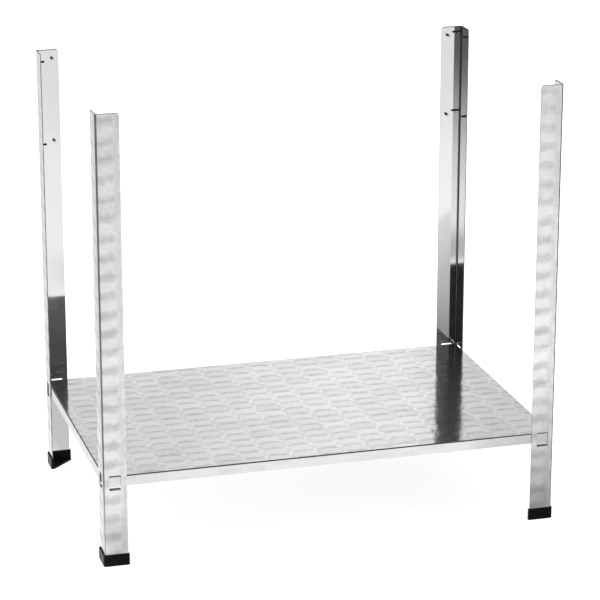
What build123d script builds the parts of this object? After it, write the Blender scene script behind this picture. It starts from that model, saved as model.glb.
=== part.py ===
from build123d import *
from math import radians, tan
import os

# Griddle stand: four identical bent-sheet angle legs, tied by one lift-off shelf.
# Millimetres, +Z up, front towards -Y, origin on the floor at the middle of the plan.

# Overall size over the legs
stand_width = 800.0
stand_depth = 515.0
stand_height = 780.0

# Legs: equal angles bent from stainless sheet
leg_flange = 40.0
leg_sheet = 1.5
leg_bend_radius = 1.5
leg_top_radius = 5.0

# Shelf: one sheet with a turned-down lip on each side and open corners
shelf_height = 160.0
shelf_sheet = 1.2
shelf_lip = 18.0
shelf_bend_radius = 1.0
corner_relief = 4.0

# Hook joints: a window in each leg flange, whose tongue is set in behind the shelf's lip
hook_clearance = 0.2
window_width = 20.0
window_headroom = 1.5
tongue_side_gap = 0.5
tongue_drop = 8.0
tongue_root_straight = 0.5
tongue_ramp_angle = 60.0
tongue_bend_radius = 1.2

# Weld studs that hold the griddle's body between the legs
stud_diameter = 4.0
stud_length = 8.0
stud_tip_chamfer = 0.5
stud_base_diameter = 5.5
stud_base_height = 0.7
stud_inset = 28.0
stud_top_drop = 16.0
stud_row_spacing = 150.0

# Moulded foot caps, pushed onto the legs from below
foot_height = 20.0
foot_floor = 3.0
foot_wall = 2.2
foot_clearance = 0.15
foot_end_radius = 1.2
foot_rim_radius = 0.6

# The leg's own frame has its outer corner on the Z axis and its flanges along +X and +Y
diagonal = Plane(origin=(0, 0, 0), z_dir=(1, -1, 0))
leg_centre_radius = leg_bend_radius + leg_sheet / 2
lip_depth = leg_sheet + hook_clearance
tongue_depth = lip_depth + shelf_sheet + hook_clearance
shelf_underside = shelf_height - shelf_sheet
window_bottom = shelf_height - shelf_lip - tongue_drop
window_top = shelf_height + window_headroom


def both_flanges(feature):
    """A feature of the front flange, and its twin on the side flange."""
    return [feature, mirror(feature, about=diagonal)]


def angle_section(width, reach):
    """The leg's bent section, of a given wall, reaching a given distance along each flange."""
    middle = leg_sheet / 2
    path = FilletPolyline((reach, middle), (middle, middle), (middle, reach), radius=leg_centre_radius)
    return trace(path, line_width=width)


def hook_window():
    height = window_top - window_bottom
    window = Box(window_width, 2 * leg_sheet, height, align=(Align.CENTER, Align.CENTER, Align.MIN))
    return Pos(leg_flange / 2, leg_sheet / 2, window_bottom) * window


def hook_tongue():
    """A strip that steps in over a ramp and rises behind the lip to carry the shelf's panel."""
    middle = leg_sheet / 2
    bend = tongue_bend_radius + middle
    half_turn = radians(tongue_ramp_angle / 2)
    ramp_start = window_bottom + tongue_root_straight + bend * tan(half_turn)
    ramp_end = ramp_start + tongue_depth / tan(radians(tongue_ramp_angle))
    path = FilletPolyline(
        (middle, window_bottom),
        (middle, ramp_start),
        (middle + tongue_depth, ramp_end),
        (middle + tongue_depth, shelf_underside),
        radius=bend,
    )
    width = window_width - 2 * tongue_side_gap
    section = Plane.YZ * trace(path, line_width=leg_sheet)
    tongue = Pos(leg_flange / 2 - width / 2, 0, 0) * extrude(section, amount=width, dir=(1, 0, 0))
    tip_edge = tongue.edges().filter_by(Axis.X).group_by(Axis.Z)[-1].sort_by(Axis.Y)[0]
    return chamfer(tip_edge, shelf_bend_radius)


def angle_leg():
    section = angle_section(leg_sheet, leg_flange)
    leg = Pos(0, 0, foot_floor) * extrude(section, amount=stand_height - foot_floor)
    front_corner = leg.edges().filter_by(Axis.Y).group_by(Axis.Z)[-1].sort_by(Axis.X)[-1]
    side_corner = leg.edges().filter_by(Axis.X).group_by(Axis.Z)[-1].sort_by(Axis.Y)[-1]
    leg = fillet([front_corner, side_corner], leg_top_radius)
    leg -= both_flanges(hook_window())
    leg += both_flanges(hook_tongue())
    return leg


def weld_stud():
    """A stud along +Z, standing on its weld base."""
    shank = extrude(Circle(stud_diameter / 2), amount=stud_length)
    shank = chamfer(shank.edges().group_by(Axis.Z)[-1], stud_tip_chamfer)
    return shank + extrude(Circle(stud_base_diameter / 2), amount=stud_base_height)


def leg_studs():
    first_row = stand_height - stud_top_drop
    studs = []
    for height in (first_row, first_row - stud_row_spacing):
        seat = Plane(origin=(stud_inset, leg_sheet, height), z_dir=(0, 1, 0))
        studs += both_flanges(seat * weld_stud())
    return studs


def foot_cap():
    """A cap that grips the angle between two walls, on a three-sided floor."""
    near = -foot_wall
    far = leg_flange + foot_wall
    end = leg_sheet + foot_wall
    corner = (near, near)
    arms = [(near, far), corner, (far, near)]

    def rounded(*inner_points):
        plan = make_face(Polyline(*arms, *inner_points, close=True))
        plan = fillet(plan.vertices().sort_by_distance(corner)[1:], foot_end_radius)
        return fillet(plan.vertices().sort_by_distance(corner)[0], leg_bend_radius + leg_sheet + foot_wall)

    walls = extrude(rounded((far, end), (end, end), (end, far)), amount=foot_height)
    walls = fillet(walls.edges().group_by(Axis.Z)[-1], foot_rim_radius)
    cap = walls + extrude(rounded((far, end), (end, far)), amount=foot_floor)
    slot = angle_section(leg_sheet + 2 * foot_clearance, leg_flange + foot_clearance)
    return cap - Pos(0, 0, foot_floor) * extrude(slot, amount=foot_height)


def lip_shelf():
    """A shallow tray, open side down, whose lips stand just inside the legs."""
    width = stand_width - 2 * lip_depth
    depth = stand_depth - 2 * lip_depth
    base = (Align.CENTER, Align.CENTER, Align.MIN)
    outside = Box(width, depth, shelf_lip, align=base)
    outside = fillet(outside.faces().sort_by(Axis.Z)[-1].edges(), shelf_bend_radius + shelf_sheet)
    inside = Box(width - 2 * shelf_sheet, depth - 2 * shelf_sheet, shelf_lip - shelf_sheet, align=base)
    inside = fillet(inside.faces().sort_by(Axis.Z)[-1].edges(), shelf_bend_radius)
    notch = Box(2 * corner_relief, 2 * corner_relief, shelf_lip, align=base)
    notches = [spot * notch for spot in GridLocations(width, depth, 2, 2)]
    return Pos(0, 0, shelf_height - shelf_lip) * (outside - inside - notches)


def leg_places():
    """Each leg is the same piece, turned a quarter for each corner of the plan."""
    x = stand_width / 2
    y = stand_depth / 2
    return {
        "front_left": Location((-x, -y, 0), (0, 0, 0)),
        "front_right": Location((x, -y, 0), (0, 0, 90)),
        "back_right": Location((x, y, 0), (0, 0, 180)),
        "back_left": Location((-x, y, 0), (0, 0, 270)),
    }


os.makedirs("parts", exist_ok=True)
leg = angle_leg()
foot = foot_cap()
studs = leg_studs()
export_step(lip_shelf(), "parts/shelf.step")
for corner, place in leg_places().items():
    export_step(place * leg, f"parts/leg_{corner}.step")
    export_step(place * foot, f"parts/foot_{corner}.step")
    export_step(place * Compound(children=studs), f"parts/weld_studs_{corner}.step")
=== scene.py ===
from collections import namedtuple
from math import cos, pi, radians, sin

import bmesh
import bpy
from mathutils import Matrix, Vector


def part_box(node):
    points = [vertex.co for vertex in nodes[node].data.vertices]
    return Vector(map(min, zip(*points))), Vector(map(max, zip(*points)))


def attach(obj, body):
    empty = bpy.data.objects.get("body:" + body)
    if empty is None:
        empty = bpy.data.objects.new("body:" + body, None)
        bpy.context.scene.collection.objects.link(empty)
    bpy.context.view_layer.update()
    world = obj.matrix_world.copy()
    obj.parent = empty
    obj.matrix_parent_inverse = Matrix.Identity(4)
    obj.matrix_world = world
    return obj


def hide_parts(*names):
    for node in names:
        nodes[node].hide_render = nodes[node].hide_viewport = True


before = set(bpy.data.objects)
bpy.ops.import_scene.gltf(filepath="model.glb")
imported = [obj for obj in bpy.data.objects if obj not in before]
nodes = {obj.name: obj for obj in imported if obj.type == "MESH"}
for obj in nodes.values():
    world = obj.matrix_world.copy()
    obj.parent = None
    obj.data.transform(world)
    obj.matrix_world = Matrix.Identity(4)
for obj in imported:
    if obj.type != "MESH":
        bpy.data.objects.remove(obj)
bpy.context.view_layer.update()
scene = bpy.context.scene

CORNERS = {"front_left": (-1, -1), "front_right": (1, -1), "back_left": (-1, 1), "back_right": (1, 1)}

# Engine turning: ground discs that overlap in columns, with pitches in metres and leans in radians.
# A disc's light middle and its shaded rim, from rim_start to rim_end of the half row, are painted
# highlight and painted shade that stand for the reflection of its rings; the discs' places are the ground
# pattern. The seam between columns gets painted shade by a share seam of that, from seam_start of the
# half column on. Gap is how far polished sheet shows between the discs, lighter as a painted glint, arch
# bows the rows, and blotch is the spread of fine blotches. Dome is a disc's lean at its rim, ripple the
# spread of its rings' leans, and haze the weight of a rough coat, which stands for the light that the
# grain scatters.
Turning = namedtuple(
    "Turning",
    "column_pitch row_pitch arch rim_start rim_end seam_start seam gap "
    "light shade blotch roughness dome ripple haze")
SHELF_TURNING = Turning(
    column_pitch=0.045, row_pitch=0.030, arch=8.0, rim_start=0.4, rim_end=1.0,
    seam_start=0.65, seam=0.3, gap=1.0, light=0.84, shade=0.57, blotch=0.04,
    roughness=0.085, dome=0.006, ripple=0.06, haze=0.9)
LEG_TURNING = Turning(
    column_pitch=0.042, row_pitch=0.0325, arch=-4.0, rim_start=0.25, rim_end=0.85,
    seam_start=0.55, seam=0.4, gap=0.0, light=0.92, shade=0.67, blotch=0.16,
    roughness=0.15, dome=0.01, ripple=0.0, haze=0.0)

# How far the discs stray, in metres: from column to column, at random, and along a column
ROW_DRIFT = 0.0045
ROW_SCATTER = 0.009
UNEVENNESS = 0.008

# Seeds of the discs' random places, and where a leg's first column lies, in metres from its bend
SHELF_SEED = 3
LEG_SEED = 11
LEG_SEED_STEP = 7
COLUMN_SHIFT = {"front_left": 0.013, "front_right": 0.030, "back_left": 0.012, "back_right": 0.024}

# Scales of the sheet's noises, per metre; the streaks' run across and along the sheet.
# RING_TONES is how far one disc's rings lie from the next one's in their noise.
WANDER_SCALE = 9.0
SPREAD_SCALE = 7.0
CLOUD_SCALE = 22.0
PATCH_SCALE = 30.0
GRAIN_SCALE = 75.0
BLOTCH_SCALE = 90.0
WAVE_SCALE = 160.0
RING_SCALE = 900.0
STREAK_SCALES = (260.0, 5.0)
RING_TONES = 3.0

# Spreads that the noises give: to the discs' outlines, in shares of their size, and to light and roughness
OUTLINE_ACROSS = 0.5
OUTLINE_ALONG = 0.9
TONE_SPREAD = 0.12
RING_SPREAD = 0.06
RING_ROUGHNESS = 0.04
CLOUD_SPREAD = 0.08
STREAK_SPREAD = 0.03

# Ramps over a disc, in shares of its size or of a noise: from and to, and the values there
RIM_PATCHES = (0.3, 0.65, 0.6, 1.0)
RIM_ACROSS = (0.5, 1.0)
GAP_ALONG = (0.5, 0.85)
GAP_ACROSS = (0.75, 0.92)
GAP_TONES = (0.2, 0.6)

# Light and roughness of the sheet: a pair is for its inside and its outside. The outside's polish is lighter
# than the inside's as a painted glint where it shows between the discs. The bends are darkened as painted
# shade. The cut edges are duller, and darker as painted shade the more they face up or down. The rims'
# roughness is a multiple of the discs' own.
PLAIN_LIGHT_AND_PAINTED_GLINT = (0.885, 0.97)
PLAIN_ROUGHNESS = (0.04, 0.06)
BEND_PAINTED_SHADE = (0.2, 0.65)
EDGE_DULL_AND_PAINTED_SHADE = (0.5, 0.95, 0.45, 0.16)
EDGE_ROUGHNESS = 0.5
RIM_ROUGHNESS = 1.35
HAZE_ROUGHNESS = 0.38
ANISOTROPY = 0.8

# Parts of a face's normal: facing a way, square to it, and on the way round a bend
FACING = 0.5
SQUARE = 0.95
BEND_RAMP = (0.15, 0.5)

# Places on a leg, in metres. Past EDGE_REACH from the bend, a face square to its flange is a cut edge, and
# a face set in by more than SET_IN isn't ground. The bend gets painted shade, with a line of it inside the
# bend, and a darker line runs along the top, which TOP_LINE measures downwards. The discs are a little
# fainter higher up.
EDGE_REACH = 0.006
SET_IN = 0.001
INNER_BEND = (0.0034, 0.0043, 1.0, 0.0)
TOP_LINE = (0.0018, 0.0010)
FADE_UP = (0.35, 0.6, 1.0, 0.8)

# The discs are fainter on the shelf's lips than on its panel
LIP_FADE = (0.5, 0.9, 0.25, 1.0)


class Graph:
    """The nodes of one material or world, with short ways to add and link them."""

    def __init__(self, owner):
        owner.use_nodes = True
        self.tree = owner.node_tree
        self.tree.nodes.clear()

    def add(self, kind, inputs=None, **settings):
        node = self.tree.nodes.new("ShaderNode" + kind)
        for name, value in settings.items():
            setattr(node, name, value)
        for name, value in (inputs or {}).items():
            self.feed(node.inputs[name], value)
        return node

    def feed(self, socket, value):
        if isinstance(value, bpy.types.NodeSocket):
            self.tree.links.new(value, socket)
        else:
            socket.default_value = value

    def computed(self, kind, operation, values):
        node = self.add(kind, operation=operation)
        for socket, value in zip(node.inputs, values):
            self.feed(socket, value)
        return node.outputs[0]

    def math(self, operation, *values):
        return self.computed("Math", operation, values)

    def vector(self, operation, *values):
        return self.computed("VectorMath", operation, values)

    def chain(self, operation, values):
        result = values[0]
        for value in values[1:]:
            result = self.math(operation, result, value)
        return result

    def total(self, *values):
        return self.chain("ADD", values)

    def product(self, *values):
        return self.chain("MULTIPLY", values)

    def largest(self, *values):
        return self.chain("MAXIMUM", values)

    def smallest(self, *values):
        return self.chain("MINIMUM", values)

    def minus(self, a, b):
        return self.math("SUBTRACT", a, b)

    def over(self, a, b):
        return self.math("DIVIDE", a, b)

    def rounded(self, value):
        return self.math("ROUND", value)

    def size(self, value):
        return self.math("ABSOLUTE", value)

    def above(self, value, limit):
        return self.math("GREATER_THAN", value, limit)

    def apart(self, value, place):
        return self.size(self.minus(value, place))

    def rest(self, share):
        return self.minus(1.0, share)

    def scaled(self, vector, amount):
        return self.add("VectorMath", {"Vector": vector, "Scale": amount}, operation="SCALE").outputs[0]

    def split(self, vector):
        return self.add("SeparateXYZ", {"Vector": vector}).outputs

    def joined(self, x, y, z):
        return self.add("CombineXYZ", {"X": x, "Y": y, "Z": z}).outputs[0]

    def grey(self, value):
        return self.joined(value, value, value)

    def ramp(self, value, low, high, start=0.0, end=1.0):
        inputs = {"Value": value, "From Min": low, "From Max": high, "To Min": start, "To Max": end}
        return self.add("MapRange", inputs, interpolation_type="SMOOTHSTEP").outputs[0]

    def blend(self, factor, a, b):
        """From a to b as the factor goes from 0 to 1."""
        return self.total(self.product(a, self.rest(factor)), self.product(b, factor))

    def vary(self, middle, noise, amount):
        """A middle value that a noise from 0 to 1 moves up and down by half the amount."""
        return self.total(middle, self.product(self.minus(noise, 0.5), amount))

    def noise(self, vector, scale, detail=2.0):
        return self.add("TexNoise", {"Vector": vector, "Scale": scale, "Detail": detail}).outputs["Fac"]

    def random(self, x, y):
        vector = self.joined(x, y, 0.0)
        return self.add("TexWhiteNoise", {"Vector": vector}, noise_dimensions="2D").outputs["Value"]


def new_material(name):
    material = bpy.data.materials.new(name)
    return material, Graph(material)


def finish_surface(g, shader):
    g.add("OutputMaterial", {"Surface": shader})


# A point of a bent sheet: its place and the two directions on the unfolded sheet; masks of the outside,
# the cut edges, and the painted shade at the bends with a darker line along a leg's top; and the depth of
# the discs, which is 0 where the sheet isn't ground
Sheet = namedtuple("Sheet", "u v along_u along_v outside edge depth worn")


def engine_turned(name, sheet_at, turning, seed, shift):
    """Polished sheet steel with ground discs on its outside that carry painted highlight and shade, painted
    shade at the bends, and duller cut edges, darker as painted shade where they face up or down.

    sheet_at gives the Sheet for a point and its normal, and shift moves the first column of discs.
    """
    material, g = new_material(name)
    coordinates = g.add("TexCoord").outputs
    point = coordinates["Object"]
    sheet = sheet_at(g, point, coordinates["Normal"])
    half_column = 0.5 * turning.column_pitch
    half_row = 0.5 * turning.row_pitch

    # The disc that a point lies on, and the point's place on it
    wander = g.noise(g.joined(sheet.v, seed, 0.0), WANDER_SCALE)
    spread = g.noise(g.joined(seed, sheet.v, 0.0), SPREAD_SCALE)
    u = g.vary(g.minus(sheet.u, shift), wander, UNEVENNESS)
    v = g.vary(sheet.v, spread, UNEVENNESS)
    column = g.rounded(g.over(u, turning.column_pitch))
    du = g.minus(u, g.product(column, turning.column_pitch))
    start = g.total(g.product(column, ROW_DRIFT), g.product(g.random(column, seed), ROW_SCATTER))
    bowed = g.total(g.minus(v, start), g.product(du, du, turning.arch))
    row = g.rounded(g.over(bowed, turning.row_pitch))
    dv = g.minus(bowed, g.product(row, turning.row_pitch))
    reach = g.math("SQRT", g.total(g.product(du, du), g.product(dv, dv)))
    radial = g.vector("ADD", g.scaled(sheet.along_u, du), g.scaled(sheet.along_v, dv))
    outward = g.vector("NORMALIZE", radial)
    tone = g.random(g.total(column, seed), row)
    ring_tone = g.product(tone, RING_TONES)

    # Painted shade at the discs' rims and at the seams between columns, standing for their rings'
    # reflection, and gaps of polished sheet
    spot = g.joined(u, v, seed)
    grain = g.noise(spot, GRAIN_SCALE)
    patches = g.noise(spot, PATCH_SCALE, detail=1.0)
    across = g.vary(g.over(g.size(du), half_column), grain, OUTLINE_ACROSS)
    along = g.vary(g.over(g.size(dv), half_row), grain, OUTLINE_ALONG)
    rim = g.product(g.ramp(along, turning.rim_start, turning.rim_end), g.ramp(patches, *RIM_PATCHES))
    rim = g.product(rim, g.ramp(across, *RIM_ACROSS, 1.0, turning.seam))
    seam = g.product(g.ramp(across, turning.seam_start, 1.0), turning.seam)
    painted_disc_shade = g.product(g.largest(rim, seam), sheet.depth)
    gap = g.product(g.ramp(along, *GAP_ALONG), g.ramp(across, *GAP_ACROSS), g.ramp(tone, *GAP_TONES))
    gap = g.product(gap, sheet.depth, turning.gap)
    disc = g.product(sheet.outside, g.rest(gap), g.above(sheet.depth, 0.0))

    # Light that the sheet returns: painted highlight and shade over the discs, and painted shade at the
    # bends
    rings = g.noise(g.joined(reach, ring_tone, 0.0), RING_SCALE)
    blotches = g.noise(g.joined(v, u, seed), BLOTCH_SCALE)
    clouds = g.noise(point, CLOUD_SCALE, detail=3.0)
    streak_u, streak_v = STREAK_SCALES
    streaks = g.noise(g.joined(g.product(u, streak_u), g.product(v, streak_v), seed), scale=1.0, detail=3.0)
    # The discs' light middles and shaded rims are painted highlight and painted shade
    ground = g.vary(g.blend(painted_disc_shade, turning.light, turning.shade), tone, g.product(sheet.depth, TONE_SPREAD))
    ground = g.vary(g.vary(ground, rings, RING_SPREAD), blotches, turning.blotch)
    # The outside's polish is lighter than the inside's, a painted glint where it shows between the discs
    polished = g.vary(g.blend(sheet.outside, *PLAIN_LIGHT_AND_PAINTED_GLINT), streaks, STREAK_SPREAD)
    colour = g.vary(g.blend(disc, polished, ground), clouds, CLOUD_SPREAD)
    # Painted shade at the bends, and a darker line along a leg's top
    colour = g.product(colour, g.blend(sheet.worn, 1.0, g.blend(sheet.outside, *BEND_PAINTED_SHADE)))
    # Cut edges are duller, and darker as painted shade the more they face up or down
    facing_up = g.size(g.split(coordinates["Normal"])[2])
    colour = g.smallest(g.blend(sheet.edge, colour, g.ramp(facing_up, *EDGE_DULL_AND_PAINTED_SHADE)), 1.0)

    # Roughness, and the lean of the discs and their rings
    rim_roughness = RIM_ROUGHNESS * turning.roughness
    rough_disc = g.vary(g.blend(painted_disc_shade, turning.roughness, rim_roughness), rings, RING_ROUGHNESS)
    rough_plain = g.vary(g.blend(sheet.outside, *PLAIN_ROUGHNESS), streaks, STREAK_SPREAD)
    roughness = g.blend(sheet.edge, g.blend(disc, rough_plain, rough_disc), EDGE_ROUGHNESS)
    lean = g.product(disc, turning.dome / half_column ** 2, reach)
    waves = g.noise(g.joined(reach, ring_tone, seed), WAVE_SCALE)
    ripple = g.product(disc, g.vary(0.0, waves, turning.ripple))
    tilt = g.vector("ADD", g.scaled(radial, lean), g.scaled(outward, ripple))
    normal = g.vector("NORMALIZE", g.vector("ADD", g.add("NewGeometry").outputs["Normal"], tilt))

    shader = g.add("BsdfPrincipled", {
        "Base Color": g.grey(colour), "Metallic": 1.0, "Roughness": roughness, "Anisotropic": ANISOTROPY,
        "Coat Weight": turning.haze, "Coat Roughness": HAZE_ROUGHNESS, "Normal": normal, "Tangent": outward})
    finish_surface(g, shader.outputs[0])
    return material


def leg_sheet(node, sx, sy):
    """The leg unfolded about its bend: u runs across both flanges, v up the leg."""
    low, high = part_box(node)
    bend_x = low.x if sx < 0 else high.x
    bend_y = low.y if sy < 0 else high.y
    line_start, line_end = TOP_LINE

    def sheet_at(g, point, normal):
        x, y, z = g.split(point)
        nx, ny, nz = g.split(normal)
        side = g.above(g.size(nx), g.size(ny))
        across_front = g.product(g.minus(bend_x, x), sx)
        across_side = g.product(g.minus(y, bend_y), sy)
        u = g.blend(side, across_front, across_side)
        along_u = g.joined(g.product(g.rest(side), -sx), g.product(side, sy), 0.0)

        outside = g.above(g.total(g.product(nx, sx), g.product(ny, sy)), FACING)
        cut_x = g.product(g.above(g.size(nx), FACING), g.above(g.size(across_front), EDGE_REACH))
        cut_y = g.product(g.above(g.size(ny), FACING), g.above(g.size(across_side), EDGE_REACH))
        edge = g.largest(cut_x, cut_y, g.above(g.size(nz), SQUARE))

        # The bend and a line inside it get painted shade; the top line is a darker line along the top
        bend = g.ramp(g.smallest(g.size(nx), g.size(ny)), *BEND_RAMP)
        inner_bend = g.product(g.ramp(g.size(u), *INNER_BEND), g.rest(outside))
        top_line = g.ramp(z, high.z - line_start, high.z - line_end)
        worn = g.largest(bend, inner_bend, top_line)

        set_in = g.above(g.size(g.blend(side, across_side, across_front)), SET_IN)
        depth = g.product(g.ramp(z, *FADE_UP), g.rest(set_in))
        return Sheet(u, z, along_u, (0.0, 0.0, 1.0), outside, edge, depth, worn)

    return sheet_at


def shelf_sheet(g, point, normal):
    """The shelf with its lips unfolded: u runs along the width, v along the depth."""
    low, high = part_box("shelf")
    x, y, z = g.split(point)
    nx, ny, nz = g.split(normal)
    turn_x = g.rounded(nx)
    turn_y = g.rounded(ny)
    drop = g.minus(high.z, z)
    u = g.total(x, g.product(turn_x, drop))
    v = g.total(y, g.product(turn_y, drop))
    along_u = g.joined(g.rest(g.size(turn_x)), 0.0, g.product(turn_x, -1.0))
    along_v = g.joined(0.0, g.rest(g.size(turn_y)), g.product(turn_y, -1.0))

    sideways = g.total(g.product(nx, g.math("SIGN", x)), g.product(ny, g.math("SIGN", y)))
    outside = g.above(g.largest(sideways, nz), FACING)
    edge = g.product(g.above(g.product(nz, -1.0), SQUARE), g.above(drop, 0.5 * (high.z - low.z)))
    # The shelf's bends get painted shade
    bend = g.ramp(g.smallest(g.size(nz), g.largest(g.size(nx), g.size(ny))), *BEND_RAMP)
    return Sheet(u, v, along_u, along_v, outside, edge, g.ramp(nz, *LIP_FADE), bend)


def moulded_plastic():
    """Black moulded plastic with a fine spark texture and a few rubbed places."""
    material, g = new_material("black_moulded_plastic")
    point = g.add("TexCoord").outputs["Object"]
    spark = g.noise(point, scale=2600.0, detail=3.0)
    rubbed = g.noise(point, scale=90.0, detail=3.0)
    colour = g.vary(0.005, rubbed, amount=0.006)
    roughness = g.vary(0.42, rubbed, amount=0.2)
    bump = g.add("Bump", {"Height": spark, "Strength": 0.25, "Distance": 0.0002})
    shader = g.add("BsdfPrincipled", {
        "Base Color": g.grey(colour), "Roughness": roughness, "IOR": 1.22,
        "Sheen Weight": 0.3, "Sheen Roughness": 0.25, "Normal": bump.outputs[0]})
    finish_surface(g, shader.outputs[0])
    return material


def stud_steel(name, tone):
    """Cold-formed steel, a little mottled."""
    material, g = new_material(name)
    mottle = g.noise(g.add("TexCoord").outputs["Object"], scale=900.0, detail=4.0)
    colour = g.vary(tone, mottle, amount=0.3 * tone)
    roughness = g.vary(0.24, mottle, amount=0.16)
    bump = g.add("Bump", {"Height": mottle, "Strength": 0.2, "Distance": 0.0001})
    shader = g.add("BsdfPrincipled", {
        "Base Color": g.grey(colour), "Metallic": 1.0, "Roughness": roughness, "Normal": bump.outputs[0]})
    finish_surface(g, shader.outputs[0])
    return material


def dress(node, material):
    """Puts a material on a CAD node, whose mesh stays as it is."""
    slots = nodes[node].material_slots
    if not slots:
        nodes[node].data.materials.append(material)
    for slot in slots:
        slot.material = material


# Weld studs with an M4 thread, in metres along the stud from the leg's inner face. The thread is flat at
# the bottom of its groove and on its crest, and the tip's face is bright inside a dark rim. The tones are
# shares of the light that the steel returns: the thread's dark tone is painted shade and the tip's light
# tone a painted highlight, on one and the same steel.
STUD_LENGTH = 0.008
THREAD_RADIUS = 0.002
THREAD_DEPTH = 0.00043
THREAD_PITCH = 0.0007
GROOVE_LEVEL = 1.35
GROOVE_SLOPE = 3.4
BASE_RADIUS = 0.00275
BASE_HEIGHT = 0.0007
BASE_TAPER = 0.12
BASE_STEPS = (0.0, 0.5, 0.85, 1.0, 1.02)
TIP_CHAMFER = 0.0005
TIP_FACE_RADIUS = 0.0012
SEGMENTS = 24
STEPS_PER_TURN = 8
# Painted shade on the thread and a painted highlight on the tip's face
THREAD_PAINTED_SHADE = 0.07
TIP_PAINTED_HIGHLIGHT = 0.85


def stud_radius(height, turn):
    """The stud's radius at a height and a share of a turn: a weld base, a thread and a chamfered tip."""
    if height <= BASE_HEIGHT:
        return BASE_RADIUS * (1 - BASE_TAPER * (height / BASE_HEIGHT) ** 3)
    phase = (height / THREAD_PITCH - turn) % 1.0
    groove = min(1.0, max(0.0, GROOVE_LEVEL - abs(phase - 0.5) * GROOVE_SLOPE))
    fade = min(1.0, (height - BASE_HEIGHT) / THREAD_PITCH)
    radius = THREAD_RADIUS - THREAD_DEPTH * groove * fade
    tip = THREAD_RADIUS - max(0.0, height - (STUD_LENGTH - TIP_CHAMFER))
    return min(radius, tip)


def add_stud(bm, foot, axis):
    """One stud, from its foot along its axis, in rings of vertices."""
    turn_to = Vector((0, 0, 1)).rotation_difference(axis).to_matrix()

    def add_ring(height, radius_at):
        ring = []
        for i in range(SEGMENTS):
            turn = i / SEGMENTS
            radius = radius_at(height, turn)
            local = Vector((radius * cos(2 * pi * turn), radius * sin(2 * pi * turn), height))
            ring.append(bm.verts.new(foot + turn_to @ local))
        return ring

    def join_rings(low, high, smooth):
        for i in range(SEGMENTS):
            j = (i + 1) % SEGMENTS
            face = bm.faces.new((low[i], low[j], high[j], high[i]))
            face.smooth = smooth

    shank = STUD_LENGTH - BASE_HEIGHT
    count = int(shank / THREAD_PITCH * STEPS_PER_TURN)
    heights = [BASE_HEIGHT * share for share in BASE_STEPS]
    heights += [BASE_HEIGHT + shank * (i + 1) / count for i in range(count)]
    rings = [add_ring(height, stud_radius) for height in heights]
    for low, high in zip(rings, rings[1:]):
        join_rings(low, high, True)
    tip_ring = add_ring(STUD_LENGTH, lambda height, turn: TIP_FACE_RADIUS)
    join_rings(rings[-1], tip_ring, False)
    tip = bm.faces.new(tip_ring)
    tip.material_index = 1
    bm.faces.new(list(reversed(rings[0])))


def leg_studs(corner, sx, sy, materials):
    """The leg's four studs, whose axes lie a base's radius inside the box of their plain solids."""
    low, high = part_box(f"weld_studs_{corner}")
    wall_x, inner_x = (low.x, high.x - BASE_RADIUS) if sx < 0 else (high.x, low.x + BASE_RADIUS)
    wall_y, inner_y = (low.y, high.y - BASE_RADIUS) if sy < 0 else (high.y, low.y + BASE_RADIUS)
    bm = bmesh.new()
    for z in (high.z - BASE_RADIUS, low.z + BASE_RADIUS):
        add_stud(bm, Vector((inner_x, wall_y, z)), Vector((0, -sy, 0)))
        add_stud(bm, Vector((wall_x, inner_y, z)), Vector((-sx, 0, 0)))
    mesh = bpy.data.meshes.new(f"threaded_studs_{corner}")
    bm.to_mesh(mesh)
    bm.free()
    for material in materials:
        mesh.materials.append(material)
    piece = bpy.data.objects.new(mesh.name, mesh)
    scene.collection.objects.link(piece)
    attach(piece, f"{corner}_leg_body")
    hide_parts(f"weld_studs_{corner}")


# The floor: half its width in metres, the light it returns, and its own glow for the camera
FLOOR_REACH = 12.0
FLOOR_LIGHT = 0.8
FLOOR_GLOW = 0.68

# The floor's paper as polished steel sees it. A ramp goes from one place to another, in metres, and from one
# share of white to another, or from 0 to 1. A slant is how far an edge runs aside for each metre.
BACK_LINE = 0.26
BEHIND_SLANT = 0.34
LEFT_END = (-0.75, -0.5, 0.2, 1.0)
LEFT_BEHIND = (0.0, 0.3, 1.0, 0.87)
RIGHT_SIDE = (0.05, 0.4)
RIGHT_SLANT = -1.15
RIGHT_LIGHT = (-0.3, 0.25, 0.47, 0.8)
RIGHT_STEP = (0.15, 0.19, 0.0, 0.2)
ASIDE_SLANT = 0.45
ASIDE_END = (0.45, 0.7, 1.0, 0.12)
FRONT_LEFT_SLANT = 0.25
FRONT_LEFT_END = (-1.6, -0.2, 0.12, 1.0)
FAR_END = (1.3, 2.8, 1.0, 0.82)
LANE_SLANT = 0.357
LANE_X = 0.4
LANE_WIDTH = (0.12, 0.3, 1.0, 0.0)
REAR_START = (-0.46, -0.36)
REAR_SHADE = (0.0, 0.3, 1.0, 0.08)
UNDER_START = (-0.4, -0.36)
UNDER_SHADE = (0.2, 0.6, 0.84, 0.0)
AHEAD_X = 0.1
AHEAD_WIDTH = (0.15, 0.3, 1.0, 0.0)
AHEAD_START = (-1.15, -0.9)
AHEAD_END = (-0.84, -0.76, 1.0, 0.0)
SHADE_STRENGTH = 0.45
CARD_Y = 0.27
CARD_START = (0.65, 0.85)
CARD_LIGHT = (0.08, 0.18, 0.45, 0.0)
CORNER_START = (0.8, 1.1)
CORNER_LIGHT = (0.6, 0.95, 0.45, 0.0)


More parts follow.
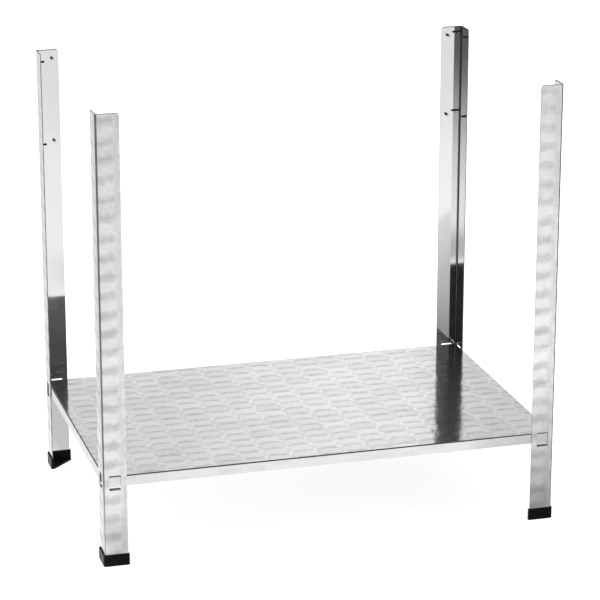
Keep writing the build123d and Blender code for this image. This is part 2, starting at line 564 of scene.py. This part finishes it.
def paper_in_steel(g):
    """White paper that ends at the left, the right and the far front left, with a painted shadow under the
    stand and painted shade behind and ahead of it.

    The photograph's steel shows those dark places. Cards at the sides light the legs for other views.
    """
    x, y, z = g.split(g.add("TexCoord").outputs["Object"])
    behind = g.largest(g.minus(y, BACK_LINE), 0.0)
    left = g.ramp(g.total(x, g.product(behind, BEHIND_SLANT)), *LEFT_END)
    left = g.product(left, g.ramp(behind, *LEFT_BEHIND))
    front_left = g.ramp(g.total(x, g.product(y, FRONT_LEFT_SLANT)), *FRONT_LEFT_END)
    far = g.ramp(g.size(y), *FAR_END)

    across = g.minus(g.product(x, RIGHT_SLANT), y)
    light = g.total(g.ramp(across, *RIGHT_LIGHT), g.ramp(across, *RIGHT_STEP))
    aside = g.ramp(g.total(x, g.product(y, ASIDE_SLANT)), *ASIDE_END)
    right = g.blend(g.ramp(x, *RIGHT_SIDE), 1.0, g.product(light, aside))

    # Painted shade on a lane behind the stand, a painted shadow under it, and painted shade on a patch ahead
    lane = g.ramp(g.size(g.total(x, g.product(behind, LANE_SLANT), -LANE_X)), *LANE_WIDTH)
    rear = g.ramp(g.product(behind, g.ramp(x, *REAR_START), lane), *REAR_SHADE)
    under = g.product(g.ramp(x, *UNDER_START), g.ramp(g.size(y), *UNDER_SHADE))
    ahead = g.product(
        g.ramp(g.apart(x, AHEAD_X), *AHEAD_WIDTH), g.ramp(y, *AHEAD_START), g.ramp(y, *AHEAD_END))
    shade = g.rest(g.product(g.largest(under, ahead), SHADE_STRENGTH))
    paper = g.product(g.smallest(left, front_left, far), right, rear, shade)

    side_cards = g.product(g.ramp(g.size(x), *CARD_START), g.ramp(g.apart(g.size(y), CARD_Y), *CARD_LIGHT))
    corner_cards = g.product(g.ramp(g.size(x), *CORNER_START), g.ramp(g.apart(y, x), *CORNER_LIGHT))
    return g.largest(paper, side_cards, corner_cards)


def studio_floor():
    """White paper that shows white to the camera and keeps a soft shadow."""
    mesh = bpy.data.meshes.new("studio_floor")
    outline = [(sx * FLOOR_REACH, sy * FLOOR_REACH, 0) for sx, sy in ((-1, -1), (1, -1), (1, 1), (-1, 1))]
    mesh.from_pydata(outline, [], [(0, 1, 2, 3)])
    material, g = new_material("studio_floor")
    rays = g.add("LightPath").outputs
    diffuse = g.add("BsdfDiffuse", {"Color": (FLOOR_LIGHT, FLOOR_LIGHT, FLOOR_LIGHT, 1.0)}).outputs[0]
    glow = g.add("Emission", {"Strength": FLOOR_GLOW}).outputs[0]
    seen = g.add("AddShader", {0: diffuse, 1: glow}).outputs[0]
    mirrored = g.add("Emission", {"Strength": paper_in_steel(g)}).outputs[0]
    plain = g.add("MixShader", {0: rays["Is Glossy Ray"], 1: diffuse, 2: mirrored}).outputs[0]
    finish_surface(g, g.add("MixShader", {0: rays["Is Camera Ray"], 1: plain, 2: seen}).outputs[0])
    mesh.materials.append(material)
    floor = bpy.data.objects.new("studio_floor", mesh)
    scene.collection.objects.link(floor)


# The room as polished steel sees it. A ramp goes from one part of a direction to another, and from one
# strength of light to another, or from 0 to 1. The front is dark where the photograph's steel shows it dark.
BACKDROP_LEFT = (0.18, 0.29, 0.77, 1.0)
BACKDROP_RIGHT = (0.295, 0.33, 1.0, 0.7)
BACKDROP_TOP = (0.325, 0.355, 1.0, 0.93)
BACKDROP_FOOT = (0.0, 0.2, 0.4, 1.0)
BACKDROP_START = (-0.12, 0.08, 0.1, 1.0)
BACKDROP_END = (0.37, 0.41, 1.0, 0.25)
LEFT_WALL = (-0.46, -0.36, 0.4, 0.0)
RIGHT_WALL = (0.46, 0.56, 0.0, 0.6)
FRONT_RIGHT = (0.0, 0.3, 0.003, 0.08)
FRONT_LEFT = (-0.7, -0.4, 0.25, 0.0)
FRONT_HEIGHT = (0.27, 0.325, 4.0, 0.1)
DARK_START = (0.09, 0.14)
DARK_END = (0.4, 0.46, 1.0, 0.0)
FRONT_LIGHT = 0.7
FRONT_TO_BACK = (-0.15, 0.25)
FLAG_START = (0.14, 0.18)
FLAG_END = (0.36, 0.42, 1.0, 0.0)
FLAG_LIGHT = 0.06
CEILING_START = (0.42, 0.75)
CEILING_LIGHT = 0.7
ROOM_LIGHT = 0.75


def room_in_steel(g):
    """A white backdrop, a front that is dark in part, and a white ceiling with a dark flag under it."""
    x, y, z = g.split(g.add("TexCoord").outputs["Generated"])
    backdrop = g.product(g.ramp(x, *BACKDROP_LEFT), g.ramp(x, *BACKDROP_RIGHT), g.ramp(z, *BACKDROP_TOP))
    ends = g.product(g.ramp(x, *BACKDROP_START), g.ramp(x, *BACKDROP_END))
    walls = g.total(g.ramp(x, *LEFT_WALL), g.ramp(x, *RIGHT_WALL))
    backdrop = g.product(g.largest(g.product(backdrop, ends), walls), g.ramp(z, *BACKDROP_FOOT))
    front = g.total(g.ramp(x, *FRONT_RIGHT), g.ramp(x, *FRONT_LEFT))
    front = g.product(front, g.ramp(z, *FRONT_HEIGHT))
    dark = g.product(g.ramp(g.size(x), *DARK_START), g.ramp(x, *DARK_END))
    front = g.blend(dark, FRONT_LIGHT, front)
    level = g.blend(g.ramp(y, *FRONT_TO_BACK), front, backdrop)
    flag = g.product(g.ramp(x, *FLAG_START), g.ramp(x, *FLAG_END))
    return g.blend(g.ramp(z, *CEILING_START), level, g.blend(flag, CEILING_LIGHT, FLAG_LIGHT))


def studio_world():
    """White for the camera, even light for matt faces, and a room for polished steel."""
    world = bpy.data.worlds.new("studio")
    scene.world = world
    g = Graph(world)
    rays = g.add("LightPath").outputs
    light = g.blend(rays["Is Glossy Ray"], ROOM_LIGHT, room_in_steel(g))
    strength = g.blend(rays["Is Camera Ray"], light, 1.0)
    background = g.add("Background", {"Color": (1.0, 1.0, 1.0, 1.0), "Strength": strength})
    g.add("OutputWorld", {"Surface": background.outputs[0]})


def soft_lamp():
    """A broad lamp above that throws the soft shadow and isn't seen in the steel."""
    lamp = bpy.data.lights.new("softbox", "AREA")
    lamp.shape = "RECTANGLE"
    lamp.size = 2.4
    lamp.size_y = 1.8
    lamp.energy = 30.0
    lamp_object = bpy.data.objects.new("softbox", lamp)
    lamp_object.location = (-0.5, 0.3, 2.6)
    lamp_object.visible_glossy = False
    lamp_object.rotation_euler = (radians(6), radians(-10), 0)
    scene.collection.objects.link(lamp_object)


# The photograph's view, from a camera fitted to the corners of the legs, shelf and feet
VIEW_AZIMUTH = radians(-15.94)
VIEW_ELEVATION = radians(17.37)
VIEW_DISTANCE = 4.594
VIEW_TARGET = Vector((0.01406, 0.0, 0.35707))
SENSOR_WIDTH = 36.0
LENS = 155.37


def camera():
    level = cos(VIEW_ELEVATION)
    back = Vector((sin(VIEW_AZIMUTH) * level, -cos(VIEW_AZIMUTH) * level, sin(VIEW_ELEVATION)))
    data = bpy.data.cameras.new("camera")
    data.sensor_width = SENSOR_WIDTH
    data.lens = LENS
    view = bpy.data.objects.new("camera", data)
    turn = back.to_track_quat("Z", "Y").to_matrix().to_4x4()
    view.matrix_world = Matrix.Translation(VIEW_TARGET + back * VIEW_DISTANCE) @ turn
    scene.collection.objects.link(view)
    scene.camera = view


# Two copies of one steel: the thread's darkened as painted shade, the tip's lightened as a painted highlight
stud_materials = [stud_steel("stud_thread_painted_shade", THREAD_PAINTED_SHADE), stud_steel("stud_tip_painted_highlight", TIP_PAINTED_HIGHLIGHT)]
plastic = moulded_plastic()
dress("shelf", engine_turned("engine_turned_shelf", shelf_sheet, SHELF_TURNING, SHELF_SEED, shift=0.0))
for number, (corner, (sx, sy)) in enumerate(CORNERS.items()):
    leg = f"leg_{corner}"
    seed = LEG_SEED + LEG_SEED_STEP * number
    sheet_at = leg_sheet(leg, sx, sy)
    dress(leg, engine_turned(f"engine_turned_{leg}", sheet_at, LEG_TURNING, seed, COLUMN_SHIFT[corner]))
    dress(f"foot_{corner}", plastic)
    leg_studs(corner, sx, sy, stud_materials)

studio_floor()
studio_world()
soft_lamp()
camera()
scene.view_settings.view_transform = "Standard"
